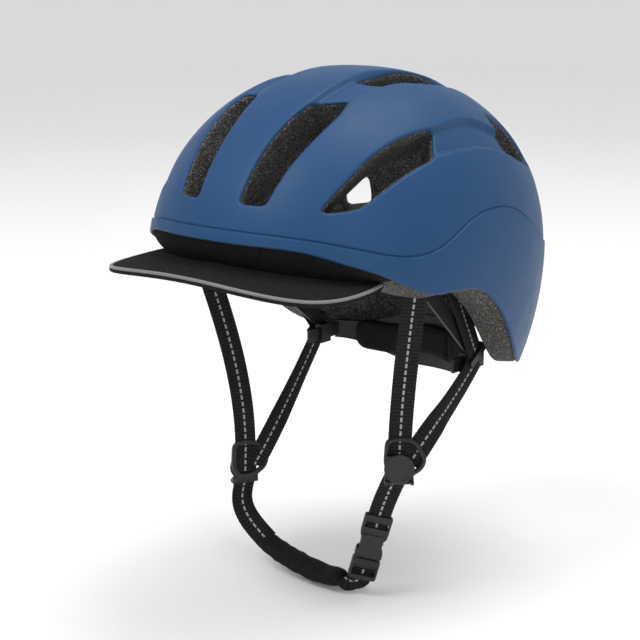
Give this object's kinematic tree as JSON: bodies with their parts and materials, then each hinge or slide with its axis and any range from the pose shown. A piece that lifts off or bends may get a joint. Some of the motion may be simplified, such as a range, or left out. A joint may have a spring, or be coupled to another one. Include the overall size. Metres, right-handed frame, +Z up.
{
  "type": "bicycle helmet",
  "caption": "Vented city bicycle helmet with soft brim visor, foam liner, dial-fit cradle, webbing harness with lockable dividers, padded chin strap and side-release buckle.",
  "frame": {"origin": "centre of the wearer's head on the symmetry plane of the shell, level with its widest point", "axes": "+Z up as worn, front towards -Y, wearer's left towards +X"},
  "size_m": [0.2216, 0.3073, 0.3455],
  "materials": {
    "shell_paint": "matte",
    "foam": "rough",
    "webbing": "ribbed",
    "visor_cloth": "felted",
    "reflective_piping": "satin",
    "pad_cloth": "brushed",
    "acetal": "satin",
    "black_plastic": "satin"
  },
  "bodies": {
    "helmet": {"arm_left": "black_plastic", "arm_right": "black_plastic", "brow_pad": "pad_cloth", "buckle_female": "acetal", "crown_pad": "pad_cloth", "divider_left": "acetal", "divider_right": "acetal", "eps_liner": "foam", "front_strap_left": "webbing", "front_strap_right": "webbing", "lower_shell": "shell_paint", "lower_strap_left": "webbing", "rear_anchor": "black_plastic", "rear_strap_anchor_left": "black_plastic", "rear_strap_anchor_right": "black_plastic", "rear_strap_lower_left": "webbing", "rear_strap_lower_right": "webbing", "rear_strap_upper_left": "webbing", "rear_strap_upper_right": "webbing", "side_pad_left": "pad_cloth", "side_pad_right": "pad_cloth", "strap_guide_left": "black_plastic", "strap_guide_right": "black_plastic", "temple_peg_left": "black_plastic", "temple_peg_right": "black_plastic", "upper_shell": "shell_paint", "visor_board": "black_plastic", "visor_fabric_bottom": "visor_cloth", "visor_fabric_top": "visor_cloth", "visor_piping": "reflective_piping"},
    "knob": {"dial_knob": "black_plastic"},
    "lock_left": {"lock_left": "acetal"},
    "lock_right": {"lock_right": "acetal"},
    "cradle": {"cradle": "black_plastic", "cradle_pad": "pad_cloth", "dial_housing": "black_plastic", "height_hanger": "black_plastic"},
    "chin": {"buckle_male": "acetal", "chin_web": "webbing", "chin_pad": "pad_cloth", "lower_strap_right": "webbing"}
  },
  "joints": [
    {"name": "cradle_slide", "type": "slide", "parent": "helmet", "child": "cradle", "axis": [0, 1, 0], "range_m": [-0.005, 0.005]},
    {"name": "dial_turn", "type": "hinge", "parent": "cradle", "child": "knob", "pos_m": [0, 0.11, -0.087], "axis": [0, 1, 0], "range_deg": [-55, 55]},
    {"name": "lock_left_flip", "type": "hinge", "parent": "helmet", "child": "lock_left", "pos_m": [0.06956, -0.03572, -0.136], "axis": [0.76, 0.65, 0], "range_deg": [0, 90]},
    {"name": "lock_right_flip", "type": "hinge", "parent": "helmet", "child": "lock_right", "pos_m": [-0.07151, -0.02744, -0.168], "axis": [-0.4711, -0.8821, 0], "range_deg": [0, 90]},
    {"name": "buckle_release", "type": "slide", "parent": "helmet", "child": "chin", "axis": [-0.3, 0, -0.9539], "range_m": [0, 0.022]}
  ],
  "couplings": [
    {"joint": "dial_turn", "follows": "cradle_slide", "rad_per_m": 125}
  ]
}
